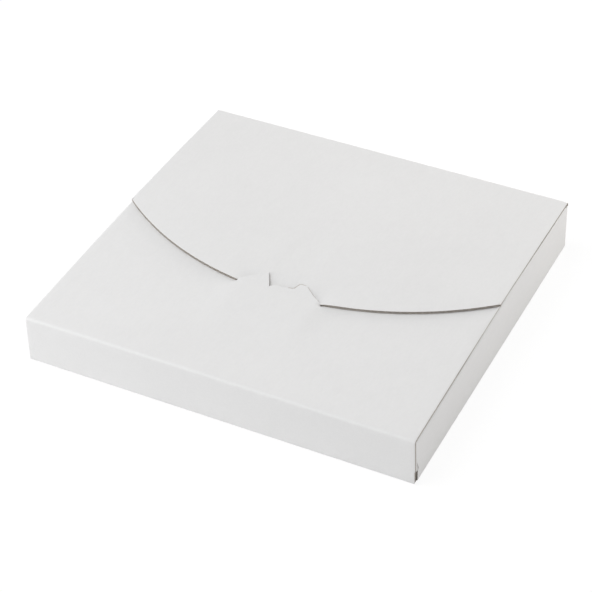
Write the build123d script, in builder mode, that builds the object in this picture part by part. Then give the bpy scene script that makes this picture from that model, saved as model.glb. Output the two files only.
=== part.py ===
from build123d import *
import math
import os

os.makedirs("parts", exist_ok=True)

# Flat one-piece mailing box of white micro-flute board. The origin is at the middle of
# its underside, with +X to the right, +Y to the back and +Z up. Sizes are in millimetres.
width = 200.0
depth = 197.0
board = 1.5
air = 0.2  # between two layers of board that lie on each other

# Outer folds, and the ridge where the two top flaps overlap and spring up
front_fold_z = 25.6
back_fold_z = 28.2
ridge_y = 1.0
ridge_z = 30.1
ridge_radius = 240.0
fold_radius = 2.4
base_fold_radius = 2.0
fold_reach = 5.0  # of the cut that parts the lid from the back wall, past the board
fold_stub = 10.0  # of the board on the far side of that cut, before it is trimmed away

# Straight hidden edge of the front flap, and curved free edge of the back flap
front_flap_end_y = 8.0
arc_end_y = 3.0
arc_radius = 153.4
arc_lowest_y = -40.0

# Shaped slit of the front flap: its lip has two horns with a thumb notch between them
slit_end_x = 22.4
horn_outer = (12.2, -23.6)
horn_inner = (8.4, -22.8)
horn_radius = 1.2
notch_corner = (5.4, -28.6)
notch_radius = 1.5
lip_rise = 2.3
lip_gap = 0.4
slit_back_x = 12.4
slit_back_y = -17.5

# Tongue of the back flap, pressed thinner than the board where the slit pinches it
tongue_board = 1.1
tongue_root_x = 8.7
tongue_root_y = -19.5
tongue_neck_y = -22.0
tongue_wide_x = 18.5
tongue_wide_y = -31.0
tongue_tip_x = 16.0
tongue_tip_y = -50.0
tongue_root_radius = 2.0
tongue_wide_radius = 3.0
tongue_tip_radius = 5.0
tongue_bend_radius = 20.0

# Side walls and their dust flaps. The tops follow the underside of the top flaps, and are
# given as pairs of a place along Y and a height
side_end_y = 96.6
side_corner_radius = 1.0
side_tops = [(-side_end_y, 23.7), (ridge_y, 26.6), (8.5, 26.45), (26.0, 27.9), (side_end_y, 26.3)]
dust_flap_length = 55.0
dust_flap_taper = 6.0
dust_flap_corner = 12.0

# Relief slots at the four lower corners
slot_reach = 2.2
slot_width = 2.0
slot_height = 6.0
slot_taper_height = 12.0

half_width = width / 2
half_depth = depth / 2
over_all = 60.0  # taller than the box, for cuts that go right through

arc_centre_y = arc_end_y + math.sqrt(arc_radius**2 - half_width**2)
slit_end_y = arc_centre_y - math.sqrt(arc_radius**2 - slit_end_x**2)
front_ridge_z = ridge_z - board - air


def front_flap_top(y):
    """Height of the front flap's outer face between its fold and the ridge."""
    return front_fold_z + (front_ridge_z - front_fold_z) * (y + half_depth) / (ridge_y + half_depth)


def back_flap_top(y):
    """Height of the back flap's outer face between its fold and the ridge."""
    return back_fold_z + (ridge_z - back_fold_z) * (half_depth - y) / (half_depth - ridge_y)


# The back fold is divided along the line that halves its angle, from its corner inwards
fold_corner = Vector(half_depth, back_fold_z)
flap_direction = (Vector(ridge_y, ridge_z) - fold_corner).normalized()
mitre = (flap_direction + Vector(0, -1)).normalized()
mitre_inner = fold_corner + mitre * fold_reach
flap_stub = fold_corner + flap_direction * fold_stub
wall_stub = fold_corner - Vector(0, fold_stub)

# Front wall, base and back wall in one strip, with the front flap on its front end
with BuildPart() as strip:
    with BuildSketch(Plane.YZ):
        with BuildLine():
            FilletPolyline(
                (front_flap_end_y, back_flap_top(front_flap_end_y) - board - air),
                (ridge_y, front_ridge_z),
                (-half_depth, front_fold_z),
                (-half_depth, 0),
                (half_depth, 0),
                (fold_corner.X, fold_corner.Y),
                (flap_stub.X, flap_stub.Y),
                radius=[
                    ridge_radius - board - air,
                    fold_radius,
                    base_fold_radius,
                    base_fold_radius,
                    fold_radius,
                ],
            )
            offset(amount=board, side=Side.RIGHT)
        make_face()
        with BuildLine():
            Polyline(
                (fold_corner.X, fold_corner.Y),
                (mitre_inner.X, mitre_inner.Y),
                (flap_stub.X - board, mitre_inner.Y),
                (flap_stub.X - board, fold_corner.Y + fold_reach),
                (fold_corner.X, fold_corner.Y + fold_reach),
                close=True,
            )
        make_face(mode=Mode.SUBTRACT)
    extrude(amount=half_width, both=True)
    # Opening that the slit leaves behind its raised lip
    with BuildSketch(Plane.XY.offset(front_fold_z / 2)):
        with BuildLine():
            Polyline(
                (-slit_end_x, slit_end_y),
                (slit_end_x, slit_end_y),
                (slit_back_x, slit_back_y),
                (-slit_back_x, slit_back_y),
                close=True,
            )
        make_face()
    extrude(amount=over_all, mode=Mode.SUBTRACT)

# Lip of the slit: a plate that rises from the slit's ends to its horns
with BuildPart() as lip:
    with BuildSketch(Plane.YZ):
        with BuildLine():
            Polyline(
                (slit_end_y, front_flap_top(slit_end_y)),
                (horn_inner[1], front_flap_top(horn_inner[1]) + lip_rise),
                (horn_inner[1], front_flap_top(horn_inner[1]) + lip_rise - board),
                (slit_end_y, front_flap_top(slit_end_y) - board),
                close=True,
            )
        make_face()
    extrude(amount=slit_end_x, both=True)
    with BuildSketch():
        with BuildLine():
            FilletPolyline(
                (-slit_end_x, slit_end_y),
                (-horn_outer[0], horn_outer[1]),
                (-horn_inner[0], horn_inner[1]),
                (-notch_corner[0], notch_corner[1]),
                notch_corner,
                horn_inner,
                horn_outer,
                (slit_end_x, slit_end_y),
                radius=[horn_radius, horn_radius, notch_radius, notch_radius, horn_radius, horn_radius],
            )
            Line((slit_end_x, slit_end_y), (-slit_end_x, slit_end_y))
        make_face()
    extrude(amount=over_all, mode=Mode.INTERSECT)

# Right side wall with its dust flap folded in, lofted so that its top follows the flaps
with BuildPart() as right_side:
    for station_y, top_z in side_tops:
        with BuildSketch(Plane.XZ.offset(-station_y)):
            with BuildLine():
                FilletPolyline(
                    (half_width - dust_flap_length, top_z),
                    (half_width, top_z),
                    (half_width, 0),
                    radius=fold_radius,
                )
                offset(amount=board, side=Side.RIGHT)
            make_face()
    loft(ruled=True)
    with BuildSketch():
        with BuildLine():
            FilletPolyline(
                (half_width, -side_end_y),
                (half_width - 2 * fold_radius, -side_end_y),
                (half_width - dust_flap_length, dust_flap_taper - side_end_y),
                (half_width - dust_flap_length, side_end_y - dust_flap_taper),
                (half_width - 2 * fold_radius, side_end_y),
                (half_width, side_end_y),
                radius=[side_corner_radius, dust_flap_corner, dust_flap_corner, side_corner_radius],
            )
            Line((half_width, side_end_y), (half_width, -side_end_y))
        make_face()
    extrude(amount=over_all, mode=Mode.INTERSECT)

left_side = mirror(right_side.part, about=Plane.YZ)

# The folded sheet below the lid is one solid
with BuildPart() as carton:
    add(strip.part)
    add(lip.part)
    add(right_side.part)
    add(left_side)
    # Slots that part the side walls from the front and back walls at the base
    for side in (-1, 1):
        with BuildSketch(Plane.YZ.offset(side * (half_width - slot_reach))):
            for end in (-1, 1):
                with BuildLine():
                    Polyline(
                        (end * (half_depth - board), -board),
                        (end * (half_depth - board - slot_width), -board),
                        (end * (half_depth - board - slot_width), slot_height),
                        (end * side_end_y, slot_taper_height),
                        (end * (half_depth - board), slot_taper_height),
                        close=True,
                    )
                make_face()
        extrude(amount=side * 2 * slot_reach, mode=Mode.SUBTRACT)
    # Folds between the base and the side walls
    base_edges = carton.edges().filter_by(Axis.Y).group_by(Axis.Z)[0].group_by(Axis.X)
    side_folds = [edges.sort_by(SortBy.LENGTH)[-1] for edges in (base_edges[0], base_edges[-1])]
    fillet(side_folds, base_fold_radius)

# Lid: the back flap, hinged on the back fold, with its curved edge cut round the lip
with BuildPart() as back_flap:
    with BuildSketch(Plane.YZ):
        with BuildLine():
            FilletPolyline(
                (wall_stub.X, wall_stub.Y),
                (fold_corner.X, fold_corner.Y),
                (ridge_y, ridge_z),
                (arc_lowest_y, front_flap_top(arc_lowest_y) + air + board),
                radius=[fold_radius, ridge_radius],
            )
            offset(amount=board, side=Side.LEFT)
        make_face()
        with BuildLine():
            Polyline(
                (fold_corner.X, fold_corner.Y),
                (mitre_inner.X, mitre_inner.Y),
                (mitre_inner.X, wall_stub.Y - board),
                (fold_corner.X + board, wall_stub.Y - board),
                (fold_corner.X + board, fold_corner.Y),
                close=True,
            )
        make_face(mode=Mode.SUBTRACT)
    extrude(amount=half_width, both=True)
    with BuildSketch():
        with Locations((0, arc_centre_y)):
            Circle(arc_radius)
        with Locations((0, half_depth)):
            Rectangle(width, 2 * (half_depth - arc_lowest_y), mode=Mode.INTERSECT)
        with BuildLine():
            Polyline(
                (-slit_end_x - lip_gap, arc_lowest_y),
                (-slit_end_x - lip_gap, slit_end_y),
                (-horn_outer[0] - lip_gap, horn_outer[1] + lip_gap),
                (-tongue_root_x - lip_gap, horn_inner[1] + 2 * lip_gap),
                (-tongue_root_x - lip_gap, tongue_root_y),
                (tongue_root_x + lip_gap, tongue_root_y),
                (tongue_root_x + lip_gap, horn_inner[1] + 2 * lip_gap),
                (horn_outer[0] + lip_gap, horn_outer[1] + lip_gap),
                (slit_end_x + lip_gap, slit_end_y),
                (slit_end_x + lip_gap, arc_lowest_y),
                close=True,
            )
        make_face(mode=Mode.SUBTRACT)
    extrude(amount=over_all, mode=Mode.INTERSECT)

# Tongue: dives from its crease through the slit and lies under the front flap
tongue_root_z = front_flap_top(tongue_root_y) + air + tongue_board
tongue_bend_z = front_flap_top(slit_end_y) - board - air
tongue_end_z = front_flap_top(tongue_tip_y) - board - air
with BuildPart() as lock_tongue:
    with BuildSketch(Plane.YZ):
        with BuildLine():
            FilletPolyline(
                (tongue_root_y, tongue_root_z),
                (slit_end_y, tongue_bend_z),
                (tongue_tip_y, tongue_end_z),
                radius=tongue_bend_radius,
            )
            offset(amount=tongue_board, side=Side.LEFT)
        make_face()
    extrude(amount=tongue_wide_x, both=True)
    with BuildSketch():
        with BuildLine():
            FilletPolyline(
                (-tongue_root_x, tongue_root_y),
                (-tongue_root_x, tongue_neck_y),
                (-tongue_wide_x, tongue_wide_y),
                (-tongue_tip_x, tongue_tip_y),
                (tongue_tip_x, tongue_tip_y),
                (tongue_wide_x, tongue_wide_y),
                (tongue_root_x, tongue_neck_y),
                (tongue_root_x, tongue_root_y),
                radius=[
                    tongue_root_radius,
                    tongue_wide_radius,
                    tongue_tip_radius,
                    tongue_tip_radius,
                    tongue_wide_radius,
                    tongue_root_radius,
                ],
            )
            Line((tongue_root_x, tongue_root_y), (-tongue_root_x, tongue_root_y))
        make_face()
    extrude(amount=over_all, mode=Mode.INTERSECT)

carton.part.label = "carton"
export_step(carton.part, "parts/carton.step")
back_flap.part.label = "back_flap"
export_step(back_flap.part, "parts/back_flap.step")
lock_tongue.part.label = "lock_tongue"
export_step(lock_tongue.part, "parts/lock_tongue.step")
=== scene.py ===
import math
from functools import partial

import bmesh
import bpy
import numpy as np
from mathutils import Matrix, Vector
from mathutils.geometry import delaunay_2d_cdt


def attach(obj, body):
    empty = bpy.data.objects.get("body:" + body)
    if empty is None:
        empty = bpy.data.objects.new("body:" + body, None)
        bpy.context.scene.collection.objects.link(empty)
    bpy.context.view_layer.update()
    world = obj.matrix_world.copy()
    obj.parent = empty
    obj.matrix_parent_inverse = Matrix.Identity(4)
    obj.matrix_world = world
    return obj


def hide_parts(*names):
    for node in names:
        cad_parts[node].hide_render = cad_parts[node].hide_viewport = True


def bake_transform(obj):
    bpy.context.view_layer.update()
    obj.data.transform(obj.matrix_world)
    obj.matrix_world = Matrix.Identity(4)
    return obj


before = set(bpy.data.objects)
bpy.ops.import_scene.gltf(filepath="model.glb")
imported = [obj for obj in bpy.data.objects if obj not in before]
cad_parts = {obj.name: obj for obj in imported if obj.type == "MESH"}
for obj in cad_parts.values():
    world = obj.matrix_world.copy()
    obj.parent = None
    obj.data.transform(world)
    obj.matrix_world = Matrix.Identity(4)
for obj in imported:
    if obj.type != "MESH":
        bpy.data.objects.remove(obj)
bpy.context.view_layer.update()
scene = bpy.context.scene
scene.view_settings.view_transform = "Standard"

MM = 0.001

# Camera at the photograph's angle, worked out in box widths and turned to metres
BOX_WIDTH = 0.2
AZIMUTH = math.radians(25.81)
ELEVATION = math.radians(38.05)
CAMERA_DISTANCE = 4.805
CAMERA_AIM = (0.028, -0.012)
FOCAL_PIXELS = 1935.0
PICTURE_PIXELS = 592
SENSOR = 36.0


def photo_camera():
    """Camera that sees the box as the photograph does."""
    level = math.cos(ELEVATION)
    back = Vector((math.sin(AZIMUTH) * level, -math.cos(AZIMUTH) * level, math.sin(ELEVATION)))
    right = Vector((math.cos(AZIMUTH), math.sin(AZIMUTH), 0))
    up = back.cross(right)
    place = right * -CAMERA_AIM[0] + up * -CAMERA_AIM[1] + back * CAMERA_DISTANCE
    data = bpy.data.cameras.new("photo_camera")
    data.sensor_width = SENSOR
    data.lens = FOCAL_PIXELS / PICTURE_PIXELS * SENSOR
    data.clip_start = 0.05
    data.clip_end = 20
    camera = bpy.data.objects.new("photo_camera", data)
    scene.collection.objects.link(camera)
    turn = Matrix((right, up, back)).transposed().to_4x4()
    camera.matrix_world = Matrix.Translation(place * BOX_WIDTH) @ turn
    scene.camera = camera


photo_camera()

# The board, in millimetres. Its flutes run from front to back all over the blank.
BOARD = 1.5
LINER = 0.2
AIR = 0.2  # between two layers that lie on each other
PRESSED_AIR = 0.08  # where one layer presses the other down
FLUTE_PITCH = 3.2
FLUTE_DRIFT = 0.012  # how far the flutes run off the blank's length
FLUTE_PAPER = 0.14

# Cut edges. A main cut shows its flutes, and "fine" is an edge too small for them.
EDGE_GROOVE = {"cut": 0.5, "fine": 0.7, "lip": 0.7, "horn": 0.7}
EDGE_ROLL = {"cut": 0.9, "fine": 0.16, "lip": 0.16, "horn": 0.16}
EDGE_SPACING = 1.2  # of the points along a sloping edge
LINER_CORNER = 0.06  # rounding of a liner's outer corner
# How far the crushed lower liner stands out past the upper one along the right of the lip
LIP_FLARE = {"lip": 0.38, "horn": 0.75}

# The closed box: width, depth, folds and the ridge where the two top flaps overlap
HALF_WIDTH = 100.0
HALF_DEPTH = 98.5
FRONT_FOLD_Z = 25.6
BACK_FOLD_Z = 28.2
RIDGE_Y = 1.0
RIDGE_Z = 30.1
LID_RIDGE_WIDTH = 0.22  # rounding of the ridge in each flap
FLAP_RIDGE_WIDTH = 0.2
FOLD_RADIUS = 1.5
BASE_FOLD_RADIUS = 1.0
FLAP_END_Y = 8.0  # the hidden edge of the front flap, under the lid
SEAM_Z = 8.0  # where the back wall is divided between the two sheets
SEAM_GAP = 3e-6  # in metres: corners of two patches nearer than this are one

# How this one box has set: flaps that stand in or sink, a leaning wall, an uneven crease
FLAP_INSET = 1.1  # of the front flap, at the right end of the front fold
LID_INSET = 0.7  # of the lid, along its right edge
WALL_LEAN = 0.8  # of the right side wall, along all of its top
LEAN_GROWS_Y = -70.0  # from here to its front end the right wall leans in further
SIDE_DROOP = 0.25  # of the flaps along their left edge
DROOP_WIDTH = 20.0
DROOP_END_Y = 60.0
CREASE_GIVE = 0.22  # how far the front fold's edge is pressed in at most
CREASE_REACH = 1.3
CREASE_WAVES = [(7.3, 0.4, 1.0), (4.1, 2.1, 0.7), (2.6, -1.3, 0.5)]  # length, phase and size

# The lid's curved edge, and the slit in the front flap that its tongue goes through
ARC_END_Y = 3.0
ARC_RADIUS = 153.4
SLIT_END_X = 22.6
# Edge of the slit's lip from left to right: x, y and corner radius
LIP_EDGE = [
    (-18.0, -28.0, 6.0),
    (-12.2, -24.0, 1.0),
    (-10.6, -21.9, 0.6),
    (-9.8, -22.3, 0.3),
    (-5.5, -30.9, 0.3),
    (-3.6, -29.4, 1.5),
    (2.4, -28.65, 0),
    (6.3, -28.2, 0.9),
    (7.9, -24.1, 0.8),
    (11.3, -24.0, 1.5),
    (17.0, -28.8, 8.0),
]
# Kind of each run of the slit's outline, from its left end round the lip and the window
SLIT_KINDS = ["fine"] * 7 + ["horn"] * 3 + ["lip"] * 2 + ["fine"] * 3
LIP_RISE = 2.2  # of the horns, over the plane of the flap
LIP_OVER_X = 12.0  # outwards of this the lip lies on the lid and presses it down
SWELL = 1.4  # how far the flap is pushed up along the slit
SWELL_HALF = 19.0  # half width of the swell, and the width over which it fades
SWELL_FADE = 7.0
SWELL_END = 42.0  # how far in front of the lid's edge the swell ends
SWELL_RUN = 40.0
# Where the lip presses the lid down on each side: depth, x, y and spread
DIP_SPOTS = {-1: (1.1, 16.5, -29.0, 4.6), 1: (1.35, 18.5, -30.0, 5.5)}
LID_HOLLOW = (0.25, 15.0, -24.0, 7.0)  # behind the lip: depth, half width, y and half length
CRUSHED = 0.3  # share of the board's thickness left where the lip rides on the lid
CRUSH_LEFT_X = 9.0  # the left of the lip is crushed outwards of this, the right from the middle
CRUSH_RUN = 3.0
CRUSH_DEPTH = 2.5
WINDOW_X = 11.0  # right end of the opening behind the lip, and its back edge
WINDOW_Y = -17.5
TONGUE_BOARD = 1.1  # thickness left in the tongue, pressed thin in the slit
TONGUE_THIN_Y = -22.0  # where it starts to be pressed
TONGUE_HALF = 8.5  # half its width at the root
TONGUE_ROOT = 4.0  # width over which the tongue parts from the lid at its root
TONGUE_WIDE = (17.5, -33.0)  # its widest place and its tip, as x and y
TONGUE_TIP = (16.0, -50.0)
# Edge of the lid under the lip, from the slit's end to the neck of the tongue, on each side
LID_NECK = {
    -1: [(-21.5, -32.5), (-17.6, -29.1), (-12.3, -25.3), (-10.9, -23.6), (-10.2, -24.6)],
    1: [(21.5, -32.7), (16.4, -29.9), (11.2, -25.6), (9.9, -25.0), (9.8, -25.8)],
}
# Height of the tongue's outer face along its length
TONGUE_LINE = [(-50, 25.2), (-37, 25.75), (-31, 27.1), (-23, 28.8), (-18, 29.5)]

# The sides, with their dust flaps
SIDE_END_Y = 96.9
SIDE_BACK_Y = 98.4  # a side wall covers the edge of the back wall
BACK_INSET = 1.9  # of the back wall's ends, which stand between the side walls
SIDE_FOLD_RADIUS = 1.5
SIDE_WALL_RUN = 22.0
# Height of a side wall's upper fold along it, as y and z
SIDE_TOPS = [
    (-96.6, 23.7),
    (-94.0, 24.0),
    (-40.0, 25.62),
    (1.0, 26.78),
    (8.3, 26.7),
    (13.0, 27.7),
    (20.0, 28.05),
    (60.0, 27.3),
    (93.0, 26.6),
    (96.6, 26.3),
]
DUST_REACH = 55.0
DUST_TAPER = 6.0
DUST_CORNER = 12.0
# The lower corners
SLOT_X = 99.3  # half width of the base in front of the sides
SLOT_Y = 95.8  # the base carries the sides as far as this, forwards and backwards
SLOT_TOP = 7.6  # below this the ends of the front wall are set in
SLIT_TOP = 13.7  # above this the front edge of a side shows its flutes
# Outline of a side's lower front corner from the base up, round the slit: height and y
CORNER_SLIT = [(5.6, 95.3), (7.4, 94.5), (12.2, 96.3), (7.8, 95.35), (6.6, 95.6)]

ARC_CENTRE_Y = ARC_END_Y + math.sqrt(ARC_RADIUS**2 - HALF_WIDTH**2)
SLIT_END_Y = ARC_CENTRE_Y - math.sqrt(ARC_RADIUS**2 - SLIT_END_X**2)
FRONT_RIDGE_Z = RIDGE_Z - BOARD - AIR


def smooth_step(x):
    """0 below 0, 1 above 1 and an even curve between."""
    x = np.clip(x, 0, 1)
    return x * x * (3 - 2 * x)


def soft_min(a, b, width):
    """The lower of two heights, rounded where they cross."""
    return -width * np.logaddexp(-a / width, -b / width)


def arc_y(x):
    """Front edge of the lid at a distance from the middle."""
    return ARC_CENTRE_Y - np.sqrt(ARC_RADIUS**2 - np.square(x))


def front_plane(y):
    """Height of the front flap's outer face, before it bulges."""
    slope = (FRONT_RIDGE_Z - FRONT_FOLD_Z) / (RIDGE_Y + HALF_DEPTH)
    return FRONT_FOLD_Z + slope * (y + HALF_DEPTH)


def back_plane(y):
    """Height of the lid's outer face behind its ridge."""
    slope = (RIDGE_Z - BACK_FOLD_Z) / (HALF_DEPTH - RIDGE_Y)
    return BACK_FOLD_Z + slope * (HALF_DEPTH - y)


def side_droop(x, y):
    """How far the flaps sink along their left edge."""
    left = smooth_step((DROOP_WIDTH - HALF_WIDTH - x) / DROOP_WIDTH)
    return SIDE_DROOP * left * smooth_step((DROOP_END_Y - y) / DROOP_END_Y)


def lid_dip(x, y):
    """How far the lid is pressed down under each side of the lip."""
    found = 0
    for hand, (depth, spot_x, spot_y, spread) in DIP_SPOTS.items():
        away = np.square((hand * x - spot_x) / spread) + np.square((y - spot_y) / spread)
        found = found + depth * np.exp(-away)
    return found


def lid_plane(x, y):
    """Outer face of the lid, without its tongue."""
    lid = soft_min(back_plane(y), front_plane(y) + AIR + BOARD, LID_RIDGE_WIDTH)
    depth, half_width, middle_y, half_length = LID_HOLLOW
    hollow = depth * np.exp(-np.square(x / half_width) - np.square((y - middle_y) / half_length))
    lid = lid - lid_dip(x, y) - hollow - side_droop(x, y)
    below_lip = lip_height(y) - BOARD * lip_thickness(x, y) - 0.05
    pressed = lip_side(x, y) & (np.abs(x) > LIP_OVER_X)
    return np.where(pressed, np.minimum(lid, below_lip), lid)


def lip_side(x, y):
    """True on the lip, in front of the opening that it leaves."""
    window = SLIT_END_X - (y - SLIT_END_Y) * (SLIT_END_X - WINDOW_X) / (WINDOW_Y - SLIT_END_Y)
    inside = np.abs(x) < window - 0.3 * np.clip((y - SLIT_END_Y) / 2, 0, 1)
    return inside & (y > SLIT_END_Y) & (y < WINDOW_Y - 3)


def front_flap_height(x, y):
    """Outer face of the front flap: it swells along the slit and is pressed down under the lid."""
    plain = soft_min(front_plane(y), back_plane(y) - BOARD - AIR, FLAP_RIDGE_WIDTH)
    plain = plain - side_droop(x, y)
    across = np.exp(-np.square(np.maximum(np.abs(x) - SWELL_HALF, 0) / SWELL_FADE))
    ahead = arc_y(np.clip(np.abs(x), SLIT_END_X, HALF_WIDTH)) - y
    swell = SWELL * across * smooth_step((SWELL_END - ahead) / SWELL_RUN)
    under = np.minimum(plain, lid_plane(x, y) - BOARD - PRESSED_AIR)
    behind = smooth_step((1.4 - ahead) / 1.6)  # the flap starts to dip just in front of the lid
    behind = np.where((np.abs(x) < SLIT_END_X) & (y < SLIT_END_Y), 0, behind)
    return (plain + swell) * (1 - behind) + under * behind


def lip_height(y):
    """Outer face of the lip, which rises from the ends of the slit to its horns."""
    share = np.clip((y - SLIT_END_Y) / (LIP_EDGE[2][1] - SLIT_END_Y), 0, 1)
    return front_plane(y) + SWELL + (LIP_RISE - SWELL) * share


def front_sheet_height(x, y):
    """Outer face of the front flap and of the lip raised in it."""
    return np.where(lip_side(x, y), lip_height(y), front_flap_height(x, y))


def lip_thickness(x, y):
    """Share of the board's thickness left in the lip, crushed where it rides on the lid."""
    wide = smooth_step(np.where(x > 0, x, -x - CRUSH_LEFT_X) / CRUSH_RUN)
    back = smooth_step((y - SLIT_END_Y + CRUSH_DEPTH) / CRUSH_DEPTH)
    near = lip_side(x, y) | ((np.abs(x) < SLIT_END_X) & (y <= SLIT_END_Y) & (y > SLIT_END_Y - 3))
    return np.where(near, 1 - (1 - CRUSHED) * wide * back, 1.0)


def tongue_share(x, y):
    """1 on the tongue and 0 on the lid beside it, with an even change across its root."""
    found = 0
    for hand in (-1, 1):
        apex, neck = LID_NECK[hand][3:]
        run = (y - neck[1]) / (TONGUE_WIDE[1] - neck[1])
        edge = abs(neck[0]) + np.clip(run, 0, 1) * (TONGUE_WIDE[0] - abs(neck[0]))
        parted = np.where((hand * x < edge + 0.4) | (y < SLIT_END_Y - 0.6), 1.0, 0.0)
        joined = smooth_step((TONGUE_HALF - np.abs(x)) / TONGUE_ROOT + 0.5)
        share = np.where(y < apex[1] - 0.05, parted, joined)
        found = found + np.where(hand * x >= 0, share, 0)
    return np.minimum(found, 1)


def lid_height(x, y):
    """Outer face of the lid and of its tongue, which dives through the slit."""
    ys, zs = zip(*TONGUE_LINE)
    lid = lid_plane(x, y)
    return lid - tongue_share(x, y) * np.maximum(lid - np.interp(y, ys, zs), 0)


def side_top(y):
    """Height of a side wall's upper fold."""
    ys, zs = zip(*SIDE_TOPS)
    return np.interp(y, ys, zs)


def stacked(x, y, z):
    """Three arrays of coordinates as rows of points."""
    x, y, z = np.broadcast_arrays(x, y, z)
    return np.stack([x, y, z], axis=-1).astype(float)


def fold(v, start, centre, radius, t, first, second):
    """A quarter turn of the board, from facing along first to facing along second."""
    turn = np.clip((v - start) / (radius * math.pi / 2), 0, 1) * math.pi / 2
    reach = radius - t
    c, s = np.cos(turn), np.sin(turn)
    return [centre[k] + reach * (c * first[k] + s * second[k]) for k in (0, 1)]


LID_ARC_START = -(HALF_DEPTH - FOLD_RADIUS) - FOLD_RADIUS * math.pi / 2
LID_ARC_END = -(HALF_DEPTH - FOLD_RADIUS)
LID_SEAM = LID_ARC_START - (BACK_FOLD_Z - FOLD_RADIUS - SEAM_Z)


def place_lid(u, v, t):
    """Where a point of the lid's sheet ends up: v runs up the back wall and over its fold."""
    scale = 1 - (1 - TONGUE_BOARD / BOARD) * tongue_share(u, -v) * smooth_step((v + TONGUE_THIN_Y) / 5)
    top_y = -v
    top_z = lid_height(u, top_y) - t * scale
    centre = (HALF_DEPTH - FOLD_RADIUS, BACK_FOLD_Z - FOLD_RADIUS)
    fold_y, fold_z = fold(v, LID_ARC_START, centre, FOLD_RADIUS, t, (1, 0), (0, 1))
    lift = lid_height(u, HALF_DEPTH - FOLD_RADIUS) - BACK_FOLD_Z
    fold_z = fold_z + lift * smooth_step((v - LID_ARC_START) / (LID_ARC_END - LID_ARC_START))
    wall_z = BACK_FOLD_Z - FOLD_RADIUS + (v - LID_ARC_START)
    y = np.where(v > LID_ARC_END, top_y, np.where(v > LID_ARC_START, fold_y, HALF_DEPTH - t))
    z = np.where(v > LID_ARC_END, top_z, np.where(v > LID_ARC_START, fold_z, wall_z))
    inset = LID_INSET * np.clip((v - LID_SEAM) / (LID_ARC_START - LID_SEAM), 0, 1)
    return stacked(u - inset * np.clip(u / HALF_WIDTH, 0, 1), y, z)


# Lengths along the carton's strip, from the hidden end of the front flap to the seam
STRIP_FOLD = FLAP_END_Y + HALF_DEPTH - FOLD_RADIUS
STRIP_WALL = STRIP_FOLD + FOLD_RADIUS * math.pi / 2
STRIP_FOOT = STRIP_WALL + FRONT_FOLD_Z - FOLD_RADIUS - BASE_FOLD_RADIUS
STRIP_BASE = STRIP_FOOT + BASE_FOLD_RADIUS * math.pi / 2
STRIP_HEEL = STRIP_BASE + 2 * (HALF_DEPTH - BASE_FOLD_RADIUS)
STRIP_BACK = STRIP_HEEL + BASE_FOLD_RADIUS * math.pi / 2
STRIP_SEAM = STRIP_BACK + SEAM_Z - BASE_FOLD_RADIUS


def crease_waver(u):
    """0 to 1: how far the front crease gives at each place along it, as hand-folded board does."""
    waves = sum(size * np.sin(u / length + phase) for length, phase, size in CREASE_WAVES)
    return 0.5 + 0.5 * waves / sum(size for _, _, size in CREASE_WAVES)


def flap_inset(v):
    """How far the front flap and the top of the front wall stand in from the right side."""
    return FLAP_INSET * np.clip((STRIP_FOOT - v) / (STRIP_FOOT - STRIP_WALL), 0, 1)


def place_strip(u, v, t):
    """Where a point of the carton's strip ends up: v runs round it from the front flap."""
    flap_y = FLAP_END_Y - v
    flap_z = front_sheet_height(u, flap_y) - t * lip_thickness(u, flap_y)
    sink = side_droop(u, -HALF_DEPTH)
    centre = (-HALF_DEPTH + FOLD_RADIUS, FRONT_FOLD_Z - FOLD_RADIUS)
    fold_y, fold_z = fold(v, STRIP_FOLD, centre, FOLD_RADIUS, t, (0, 1), (-1, 0))
    lift = front_flap_height(u, -HALF_DEPTH + FOLD_RADIUS) + sink - FRONT_FOLD_Z
    fold_z = fold_z + lift * smooth_step((STRIP_WALL - v) / (STRIP_WALL - STRIP_FOLD)) - sink
    give = CREASE_GIVE * crease_waver(u) * np.exp(-np.square((v - STRIP_FOLD) / CREASE_REACH))
    flap_z = flap_z - give
    fold_z = fold_z - give
    wall_share = np.clip((v - STRIP_WALL) / (STRIP_FOOT - STRIP_WALL), 0, 1)
    wall_z = FRONT_FOLD_Z - FOLD_RADIUS - (v - STRIP_WALL) - sink * (1 - wall_share)
    centre = (-HALF_DEPTH + BASE_FOLD_RADIUS, BASE_FOLD_RADIUS)
    foot_y, foot_z = fold(v, STRIP_FOOT, centre, BASE_FOLD_RADIUS, t, (-1, 0), (0, -1))
    base_y = -HALF_DEPTH + BASE_FOLD_RADIUS + (v - STRIP_BASE)
    centre = (HALF_DEPTH - BASE_FOLD_RADIUS, BASE_FOLD_RADIUS)
    heel_y, heel_z = fold(v, STRIP_HEEL, centre, BASE_FOLD_RADIUS, t, (0, -1), (1, 0))
    back_z = BASE_FOLD_RADIUS + (v - STRIP_BACK)
    ends = (STRIP_FOLD, STRIP_WALL, STRIP_FOOT, STRIP_BASE, STRIP_HEEL, STRIP_BACK)
    zone = [v < end for end in ends]
    y = np.select(zone, [flap_y, fold_y, -HALF_DEPTH + t, foot_y, base_y, heel_y], HALF_DEPTH - t)
    z = np.select(zone, [flap_z, fold_z, wall_z, foot_z, t + 0 * v, heel_z], back_z)
    return stacked(u - flap_inset(v) * np.clip(u / HALF_WIDTH, 0, 1), y, z)


# Lengths along a side, from the base to the free edge of its dust flap
SIDE_START = HALF_WIDTH - BASE_FOLD_RADIUS
SIDE_WALL = BASE_FOLD_RADIUS * math.pi / 2
SIDE_FOLD = SIDE_WALL + SIDE_WALL_RUN
SIDE_FLAP = SIDE_FOLD + SIDE_FOLD_RADIUS * math.pi / 2
SIDE_END = SIDE_FLAP + DUST_REACH - SIDE_FOLD_RADIUS


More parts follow.
